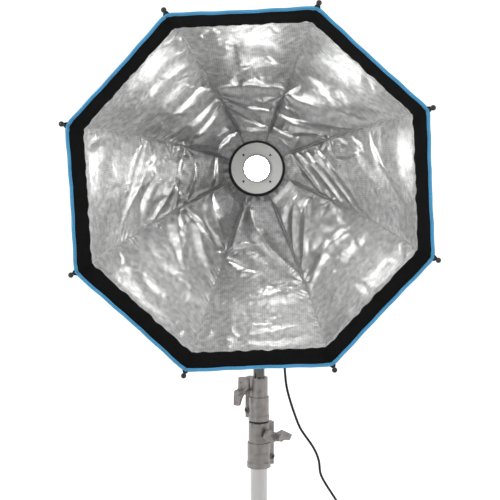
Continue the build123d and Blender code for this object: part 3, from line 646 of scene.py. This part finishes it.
# Folds of the lining, gore by gore: points (t, v), height and half width in millimetres, and sharpness.
# t runs from -1 on the gore's first rib to 1 on its second, clockwise from the front. v runs from hub to rim.
FOLDS = {
    0: [
        ([(-0.85, 0.07), (0.0, 0.14), (0.95, 0.3)], 8.0, 9, 0.5),
        ([(-0.85, 0.17), (0.0, 0.26), (0.95, 0.45)], 8.0, 12, 0.3),
        ([(-0.9, 0.29), (-0.1, 0.37), (0.95, 0.56)], -7.0, 15, 0.2),
        ([(-0.6, 0.55), (0.1, 0.62), (0.8, 0.72)], 4.0, 26, 0.0),
        ([(-0.95, 0.3), (-0.7, 0.42)], 4.0, 6, 0.7),
    ],
    1: [
        ([(-0.9, 0.02), (0.0, 0.09), (0.95, 0.2)], 9.0, 7, 0.8),
        ([(-0.85, 0.06), (0.0, 0.17), (0.95, 0.33)], 7.5, 9, 0.6),
        ([(-0.75, 0.12), (0.0, 0.24), (0.9, 0.42)], 7.0, 9, 0.5),
        ([(-0.7, 0.2), (0.0, 0.32), (0.8, 0.48)], 5.0, 10, 0.5),
        ([(-0.97, 0.66), (-0.3, 0.7), (0.3, 0.84)], 6.0, 22, 0.1),
        ([(-0.97, 0.57), (-0.4, 0.64), (0.1, 0.8)], 5.0, 12, 0.3),
        ([(-0.8, 0.42), (0.0, 0.5), (0.6, 0.62)], -5.0, 26, 0.0),
    ],
    2: [
        ([(-0.6, 0.17), (0.05, 0.24), (0.97, 0.43)], 8.5, 10, 0.5),
        ([(-0.2, 0.1), (0.45, 0.18), (0.97, 0.31)], 7.0, 8, 0.6),
        ([(-0.5, 0.5), (0.1, 0.47), (0.97, 0.56)], 7.0, 14, 0.3),
        ([(-0.8, 0.62), (0.0, 0.66), (0.7, 0.8)], 4.0, 24, 0.0),
        ([(-0.9, 0.32), (-0.4, 0.4), (0.2, 0.6)], -5.0, 18, 0.1),
    ],
    3: [
        ([(0.5, 0.05), (0.0, 0.2), (-0.95, 0.44)], 7.0, 13, 0.3),
        ([(0.97, 0.32), (0.45, 0.38), (0.1, 0.42)], -6.0, 9, 0.6),
        ([(0.5, 0.62), (-0.2, 0.6), (-0.95, 0.54)], 6.0, 20, 0.1),
        ([(0.2, 0.86), (-0.3, 0.84), (-0.9, 0.76)], 5.0, 16, 0.2),
        ([(0.97, 0.33), (0.75, 0.26), (0.2, 0.25)], 4.0, 6, 0.7),
        ([(0.55, 0.55), (0.5, 0.8), (0.48, 0.95)], 2.5, 14, 0.2),
    ],
    4: [
        ([(0.97, 0.27), (0.3, 0.24), (-0.7, 0.31)], -9.0, 15, 0.3),
        ([(0.75, 0.1), (0.15, 0.17), (-0.75, 0.25)], 7.0, 11, 0.4),
        ([(0.85, 0.33), (0.4, 0.42), (-0.2, 0.55)], 6.5, 14, 0.2),
        ([(0.9, 0.55), (0.2, 0.66), (-0.9, 0.62)], 4.5, 22, 0.1),
        ([(0.3, 0.3), (-0.3, 0.38), (-0.95, 0.48)], 5.5, 12, 0.4),
        ([(0.6, 0.75), (0.0, 0.82), (-0.6, 0.8)], 3.5, 20, 0.0),
    ],
    5: [
        ([(-0.97, 0.27), (-0.45, 0.215), (0.25, 0.18)], 9.0, 7, 0.8),
        ([(-0.97, 0.3), (-0.3, 0.3), (0.35, 0.25)], 5.5, 8, 0.6),
        ([(-0.97, 0.48), (-0.4, 0.36), (0.45, 0.28)], 7.0, 10, 0.5),
        ([(0.97, 0.47), (0.35, 0.5), (-0.5, 0.66)], 8.0, 13, 0.5),
        ([(-0.97, 0.5), (-0.5, 0.55), (0.1, 0.44)], -5.0, 10, 0.3),
        ([(0.6, 0.72), (0.0, 0.8), (-0.6, 0.86)], 4.0, 24, 0.0),
        ([(-0.9, 0.08), (-0.2, 0.07), (0.7, 0.05)], 5.0, 10, 0.3),
    ],
    6: [
        ([(-0.9, 0.23), (0.0, 0.19), (0.9, 0.23)], -7.0, 14, 0.2),
        ([(-0.85, 0.36), (0.0, 0.33), (0.9, 0.3)], 5.5, 12, 0.3),
        ([(-0.8, 0.52), (0.1, 0.47), (0.9, 0.45)], 4.5, 16, 0.1),
        ([(-0.8, 0.62), (-0.1, 0.68), (0.8, 0.62)], -4.0, 20, 0.0),
        ([(-0.6, 0.06), (0.1, 0.08), (0.7, 0.05)], 5.0, 9, 0.3),
    ],
    7: [
        ([(-0.97, 0.29), (-0.1, 0.235), (0.6, 0.19)], 8.5, 9, 0.6),
        ([(-0.97, 0.22), (-0.2, 0.14), (0.4, 0.08)], 7.0, 8, 0.6),
        ([(-0.9, 0.34), (0.0, 0.35), (0.95, 0.31)], -8.0, 15, 0.2),
        ([(-0.3, 0.46), (0.2, 0.44), (0.7, 0.47)], 5.0, 22, 0.0),
        ([(-0.5, 0.68), (0.0, 0.72), (0.5, 0.66)], -3.0, 26, 0.0),
    ],
}
PINCH_R = {0: 0.203, 1: 0.196, 2: 0.200, 3: 0.287, 4: 0.215, 5: 0.191, 6: 0.185, 7: 0.192}
BAND_COLUMNS = 30
COLUMNS = 46
ROWS = 196


def bend_through(points, count=48):
    """Points of a smooth curve through three or two given ones."""
    p = np.asarray(points, float)
    u = np.linspace(0, 1, count)[:, None]
    if len(p) == 2:
        return p[0] * (1 - u) + p[1] * u
    middle = 2 * p[1] - (p[0] + p[2]) / 2
    return p[0] * (1 - u) ** 2 + middle * 2 * u * (1 - u) + p[2] * u**2


def fold_height(x, y, half_at, length, folds):
    """Height in millimetres of a gore's folds at x across and y along it, in millimetres."""
    height = np.zeros_like(x)
    for points, rise, width, sharp in folds:
        curve = bend_through(points)
        cy = curve[:, 1] * length
        cx = curve[:, 0] * np.interp(cy, *half_at)
        dx, dy = x[..., None] - cx, y[..., None] - cy
        gap = dx**2 + dy**2
        nearest = np.argmin(gap, -1)
        distance = np.sqrt(np.take_along_axis(gap, nearest[..., None], -1)[..., 0])
        ahead = np.gradient(curve * np.array([1, length]), axis=0)
        ahead[:, 0] = np.gradient(cx)
        ahead /= np.linalg.norm(ahead, axis=1)[:, None]
        cross = (
            np.take_along_axis(dx, nearest[..., None], -1)[..., 0] * ahead[nearest, 1]
            - np.take_along_axis(dy, nearest[..., None], -1)[..., 0] * ahead[nearest, 0]
        )
        share = nearest / (len(curve) - 1)
        taper = np.sin(math.pi * np.clip(0.04 + 0.92 * share, 0, 1)) ** 0.55
        spread = width * (0.45 + 0.75 * np.sin(math.pi * np.clip(share, 0.08, 0.92)))
        side = np.sign(cross) * distance
        rounded = np.exp(-((side / spread) ** 2))
        crest = (1 - sharp) * rounded + sharp * np.exp(-np.abs(side) / (0.75 * spread))
        trough = np.exp(-(((side - 2.0 * spread) / (1.3 * spread)) ** 2))
        height += rise * taper * (crest - 0.45 * trough)
    return height


def gore_surface(gore, profile, run):
    """Positions, normals and flat coordinates of one gore of the lining, columns first."""
    r, s = profile[:, 0], profile[:, 1]
    seam_first = np.linspace(0, 1, COLUMNS + 1) ** 1.4
    t = np.concatenate([-1 + seam_first, (1 - seam_first)[::-1][1:]])
    half = r * math.sin(HALF_GORE)
    t_grid, v_grid = np.meshgrid(t, run / run[-1], indexing="ij")
    x = t_grid * half * 1000
    y = np.broadcast_to(run * 1000, x.shape)
    length = run[-1] * 1000
    seam = (1 - np.abs(t_grid)) * half * 1000
    first_seam = t_grid < 0

    height = 8.0 * np.sin(math.pi * np.clip(v_grid, 0, 1)) ** 0.8 * (1 - t_grid**2)
    folds = fold_height(x, y, (run * 1000, half * 1000), length, FOLDS[gore])
    u, w = x / 42 + 7.3 * gore, y / 60
    warp = lattice_noise(u, w, 5)
    crumple = 2.2 * lattice_noise(u * 1.3 + warp, w * 1.2 + 0.8 * warp, 11)
    crumple += 0.9 * (0.5 - np.abs(lattice_noise(u * 2.6 + w, w * 2.2 - 0.7 * u + warp, 12)))
    crumple += 0.22 * (0.5 - np.abs(lattice_noise(u * 5.2 - w, w * 5.6 + warp, 13)))
    crumple += 0.06 * lattice_noise(u * 14, w * 16, 14)
    calm = 0.45 + 0.75 * smooth(lattice_noise(u * 0.7, w * 0.8, 15), -0.6, 0.6)
    body = folds + crumple * calm * smooth(v_grid, 0.0, 0.12)
    height += body * (1 - np.exp(-((seam / 6.5) ** 2))) * (1 - smooth(v_grid, 0.90, 0.985))

    pinch = [PINCH_R[gore], PINCH_R[(gore + 1) % RIBS]]
    pinch_at = np.where(first_seam, *[np.interp(p, r, run) * 1000 for p in pinch])
    stitched = smooth(y, 0, 1) * smooth(y - pinch_at, -12, 30) * (1 - smooth(v_grid, 0.95, 1.0))
    beat = lattice_noise(y / 9.0 + 31 * gore + 17 * first_seam, y / 61, 21)
    gather = 1.5 * np.maximum(0.1, lattice_noise(y / 34 + 5 * gore, np.where(first_seam, 3.0, 8.0), 22) + 0.5)
    slant = np.where(first_seam, 0.35, -0.35)
    phase = 2 * math.pi * (y + slant * seam) / 12.5 + 3.0 * beat
    height += stitched * gather * np.exp(-seam / (9 + 5 * gather)) * np.sin(phase) * smooth(seam, 0, 2.5)
    height -= (1.6 + 2.6 * (1 - stitched)) * np.exp(-((seam / 2.6) ** 2)) * smooth(v_grid, 0.0, 0.03)
    # the star of short creases where a seam is pulled in
    reach = np.hypot(seam, y - pinch_at)
    star = np.sin(6 * np.arctan2(y - pinch_at, seam + 0.1) + gore) * np.exp(-((reach - 14) / 13) ** 2)
    height += 2.4 * star * smooth(seam, 0, 5)

    # the lining never sinks into the shell behind it, and lies flat under the band
    height = height * (1 - smooth(v_grid, 0.945, 0.985)) - 2.2 * smooth(v_grid, 0.955, 0.99)
    floor_at = -3.8
    height = floor_at + 1.6 * np.logaddexp(0, (height - floor_at) / 1.6)

    angle = rib_angle(gore) - HALF_GORE
    along = np.broadcast_to(r * math.cos(HALF_GORE), x.shape)
    across = -t_grid * half
    base = to_world(along, across, np.broadcast_to(s, x.shape), angle)
    slope_r, slope_s = np.gradient(r), np.gradient(s)
    size = np.hypot(slope_r * math.cos(HALF_GORE), slope_s)
    inward_r, inward_s = -slope_s / size, slope_r * math.cos(HALF_GORE) / size
    shift = height / 1000
    origin = to_world(0.0, 0.0, 0.0, angle)
    place = base + to_world(shift * inward_r, 0 * shift, shift * inward_s, angle) - origin

    du = np.gradient(place, axis=0)
    dv = np.gradient(place, axis=1)
    normal = np.cross(dv, du)
    normal /= np.linalg.norm(normal, axis=2)[..., None]
    if normal[COLUMNS, ROWS // 2, 1] > 0:
        normal = -normal
    flat = np.stack([x / 1000, y / 1000], -1)
    return place, normal, flat


collar_profile, (lining_line, lining_run) = lining_profile(ROWS)
gores = [gore_surface(g, lining_line, lining_run) for g in range(RIBS)]
for g in range(RIBS):
    here, ahead = gores[g][0], gores[(g + 1) % RIBS][0]
    shared = (here[-1] + ahead[0]) / 2
    here[-1], ahead[0] = shared, shared


def rib_lining(rib):
    """Lining over one rib, out to the middle of the gore on each side: the gore before it, then its own."""
    before, own = gores[(rib - 1) % RIBS], gores[rib]
    place = np.concatenate([before[0][COLUMNS:], own[0][1:COLUMNS + 1]])
    flat = np.concatenate([before[2][COLUMNS:], own[2][1:COLUMNS + 1]])
    normals = [before[1][COLUMNS:], own[1][:COLUMNS + 1]]
    columns, rows = place.shape[:2]
    faces, loops = [], []
    for c in range(columns - 1):
        half, shift = (0, 0) if c < COLUMNS else (1, COLUMNS)
        a, b = c * rows, (c + 1) * rows
        here, ahead = normals[half][c - shift], normals[half][c + 1 - shift]
        for k in range(rows - 1):
            faces.append((a + k, b + k, b + k + 1, a + k + 1))
            loops += [here[k], ahead[k], ahead[k + 1], here[k + 1]]
    obj = make_mesh(f"lining_{rib + 1}", place.reshape(-1, 3), faces, flat.reshape(-1, 2), loops)
    obj.data.materials.append(LINING)
    return obj


def quad_area(place):
    a = place[1:, 1:] - place[:-1, :-1]
    b = place[1:, :-1] - place[:-1, 1:]
    return float(np.linalg.norm(np.cross(a, b), axis=2).sum() / 2)


def seam_columns(count, crowding):
    """From -1 to 1 across a rib, with columns crowded towards the seam at 0."""
    share = np.linspace(0, 1, count + 1) ** crowding
    return np.concatenate([-share[::-1], share[1:]])


def gore_strip(rib, lines, columns, displace):
    """Grid over one rib between mid-gores from a seam line of (radius, forward) pairs. displace(distance from
    the seam, share of the line's length, side) is an extra outward shift."""
    r, s = lines[:, 0], lines[:, 1]
    grid, flat = [], []
    run = np.concatenate([[0], np.cumsum(np.linalg.norm(np.diff(lines, axis=0), axis=1))])
    slope_r, slope_s = np.gradient(r), np.gradient(s)
    size = np.hypot(slope_r * math.cos(HALF_GORE), slope_s)
    for k in seam_columns(columns, 1.5):
        side = -1 if k < 0 else 1
        half = r * math.sin(HALF_GORE)
        # k < 0 lies in the gore before the rib, which is anticlockwise of it
        angle = rib_angle(rib) - side * HALF_GORE
        across = side * (1 - abs(k)) * half
        out = displace(abs(k) * half, run / run[-1], side)
        out_r, out_s = out * slope_s / size, -out * slope_r * math.cos(HALF_GORE) / size
        grid.append(to_world(r * math.cos(HALF_GORE) + out_r, across, s + out_s, angle))
        flat.append(np.stack([side * abs(k) * half, run], -1))
    return np.array(grid), np.array(flat)


def shell_shape(seam, v, side):
    """The shell rises over the rod that it holds, and hangs slightly in between ribs."""
    over_rod = 0.0078 * np.exp(-((seam / 0.0068) ** 2))
    billow = 0.0008 * np.sin(math.pi * v) * smooth(seam / 0.12)
    ripple = 0.0009 * np.sin(2 * math.pi * seam / 0.031 + 9 * v) * smooth(seam, 0.008, 0.03)
    ripple = ripple * np.sin(math.pi * v) ** 0.5
    stitch = -0.0007 * np.exp(-(((seam - 0.0105) / 0.0016) ** 2))
    return over_rod - billow + ripple + stitch


def make_shell(rib):
    turn = np.linspace(0, 2 * HALF_TURN, 400)
    r, s = rib_point(SHELL_GAP, turn)
    keep = (r > 0.099) & (s < PIPING_AT[1] - 0.001)
    line, _ = resample(np.stack([r[keep], s[keep]], -1), 96)
    end = smooth(line[:, 1], 0.36, 0.42)
    line[:, 0] -= end * (line[:, 0][-1] - PIPING_AT[0] - 0.002)
    place, flat = gore_strip(rib, line, 26, shell_shape)
    rows = place.shape[1]
    faces = [tuple(reversed(f)) for f in grid_faces(len(place), rows)]
    obj = make_mesh(f"shell_{rib + 1}", place.reshape(-1, 3), faces, flat.reshape(-1, 2))
    obj.data.materials.append(SHELL)
    return obj, quad_area(place)


def make_band(rib):
    """Loop-faced band inside the rim, with a rolled light hem along its inner edge."""
    rows = 12
    w = np.linspace(0, 1, rows)
    inner, outer = np.array(BAND_INNER), np.array(BAND_OUTER)
    line = inner + (outer - inner) * w[:, None]
    curl = inner + np.array([[0.0030, -0.0001], [0.0014, -0.0011], [0.0002, -0.0008]])
    line = np.concatenate([curl, line])
    wander = np.random.default_rng(300 + rib)
    phases = wander.uniform(0, 6.28, 6)

    def wavy(seam, v, side):
        edge = 1 - smooth(v, 0.0, 0.55)
        wave = sum(np.sin(2 * math.pi * seam / length + phases[k + (3 if side > 0 else 0)])
                   for k, length in enumerate((0.083, 0.047, 0.029)))
        return -edge * (0.0007 * wave * smooth(seam, 0.0, 0.02) * (1 - smooth(seam, 0.150, 0.165)))

    place, flat = gore_strip(rib, line, BAND_COLUMNS, wavy)
    # the inner edge wanders in its own plane, and is drawn in round the corners
    for column, k in enumerate(seam_columns(BAND_COLUMNS, 1.5)):
        seam = abs(k) * BAND_INNER[0] * math.sin(HALF_GORE)
        side = 0 if k < 0 else 3
        drift = sum(
            np.sin(2 * math.pi * seam / length + phases[(j + side + 1) % 6])
            for j, length in enumerate((0.071, 0.038))
        )
        fade = float(smooth(seam, 0.0, 0.015) * (1 - smooth(seam, 0.148, 0.165)))
        shift = 0.0010 * drift * fade + 0.0016 * math.exp(-((seam / 0.010) ** 2)) - 0.0012
        for row in range(len(line)):
            weight = float(1 - smooth(row, 3, len(line) - 1))
            toward = place[column, row] - place[column, -1]
            toward /= np.linalg.norm(toward) + 1e-9
            place[column, row] += toward * shift * weight
    rows = place.shape[1]
    faces = grid_faces(len(place), rows)
    obj = make_mesh(f"band_{rib + 1}", place.reshape(-1, 3), faces, flat.reshape(-1, 2))
    obj.data.materials.append(BAND)
    obj.data.materials.append(BAND_HEM)
    hem = [1 if (face % (rows - 1)) < 3 else 0 for face in range(len(faces))]
    obj.data.polygons.foreach_set("material_index", hem)
    return obj, quad_area(place)


def make_piping(rib):
    """Folded binding round the rim: two rounded ridges with a stitched valley, nipped in at the corner."""
    outline = []
    for ridge, start in ((0.0021, -60), (-0.0021, 120)):
        for step in range(0, 241, 30):
            a = math.radians(start + step)
            outline.append((ridge + 0.0021 * math.cos(a), 0.0030 * math.sin(a)))
    outline = np.array(outline)
    tilt = math.radians(24)
    turned = np.stack([outline[:, 0] * math.cos(tilt) - outline[:, 1] * math.sin(tilt),
                       outline[:, 0] * math.sin(tilt) + outline[:, 1] * math.cos(tilt)], -1)
    count = len(turned)
    columns = seam_columns(48, 1.7)
    verts, uvs = [], []
    half = PIPING_AT[0] * math.sin(HALF_GORE)
    for k in columns:
        side = -1 if k < 0 else 1
        seam = abs(k) * half
        angle = rib_angle(rib) - side * HALF_GORE
        near = math.exp(-((seam / 0.010) ** 2))
        swell = 0.12 * math.exp(-(((seam - 0.011) / 0.004) ** 2))
        nip = 0.14 * math.exp(-(((seam - 0.0055) / 0.003) ** 2))
        bunch = 1 + 0.10 * near + swell - nip
        fade = float(smooth(seam, 0.0, 0.03) * (1 - smooth(seam, 0.14, 0.17)))
        wave = 0.0005 * math.sin(seam / 0.012 + rib + side) * fade
        sag = 0.0015 * math.sin(math.pi / 2 * min(1.0, seam / half)) ** 2
        ring_r = PIPING_AT[0] * math.cos(HALF_GORE) - sag - 0.0022 * near + wave
        across = side * (half - seam)
        for number, (a, b) in enumerate(turned):
            verts.append(to_world(ring_r + a * bunch, across, PIPING_AT[1] + b * bunch, angle))
            uvs.append((side * seam, 0.0012 * number))
    faces = []
    for col in range(len(columns) - 1):
        for j in range(count):
            a, b = col * count + j, col * count + (j + 1) % count
            faces.append((a, a + count, b + count, b))
    obj = make_mesh(f"piping_{rib + 1}", verts, faces, uvs)
    obj.data.materials.append(PIPING)
    return obj


def make_collar():
    """Lining where it is gathered round the lamp."""
    line, _ = resample(collar_profile, 10)
    share = np.linspace(-1, 1, 25)
    place, flat = [], []
    octagon = smooth(np.linspace(0, 1, 10), 0.0, 0.9)
    for gore in range(RIBS):
        angle = rib_angle(gore) - HALF_GORE
        for t in share[:-1]:
            half = line[:, 0] * math.sin(HALF_GORE)
            turned = HALF_GORE * t
            round_r = 0.0712 + line[:, 0] - line[0, 0]
            along = round_r * math.cos(turned) * (1 - octagon) + line[:, 0] * math.cos(HALF_GORE) * octagon
            across = -round_r * math.sin(turned) * (1 - octagon) - t * half * octagon
            seam = (1 - abs(t)) * half
            shift = -0.0022 * np.exp(-((seam / 0.0022) ** 2)) * smooth(np.linspace(0, 1, 10), 0, 0.3)
            shift = shift + 0.0008 * math.sin(9 * t + 2 * gore) * (1 - t * t)
            place.append(to_world(along, across, line[:, 1] + shift, angle))
            flat.append(np.stack([t * half, np.linspace(0, 0.018, 10)], -1))
    place, flat = np.array(place), np.array(flat)
    faces = grid_faces(len(place), 10, closed=True)
    obj = make_mesh("lining_collar", place.reshape(-1, 3), faces, flat.reshape(-1, 2))
    obj.data.materials.append(LINING)
    return obj, quad_area(np.concatenate([place, place[:1]]))


# ---------------------------------------------------------------- attach everything
for rib in range(RIBS):
    body = f"rib_{rib + 1}"
    lining = rib_lining(rib)
    shell, shell_area = make_shell(rib)
    band, band_area = make_band(rib)
    piping = make_piping(rib)
    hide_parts(f"canopy_{rib + 1}")
    for piece in (lining, shell, band, piping):
        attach(piece, body)
        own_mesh(piece)

collar_piece, collar_area = make_collar()
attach(collar_piece, "softbox")

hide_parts("power_cable", "cable_coil", "cable_tail")
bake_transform(lead)
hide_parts("mains_plug")
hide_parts("plug_pins")
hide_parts("cable_tie")
fittings = [(boot, "plug_black"), (plug_body, "plug_black")]
fittings += [(pin, "pin_brass") for pin in pins] + [(tie, "tie_black")]
for piece, slot in fittings:
    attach(piece, "head")
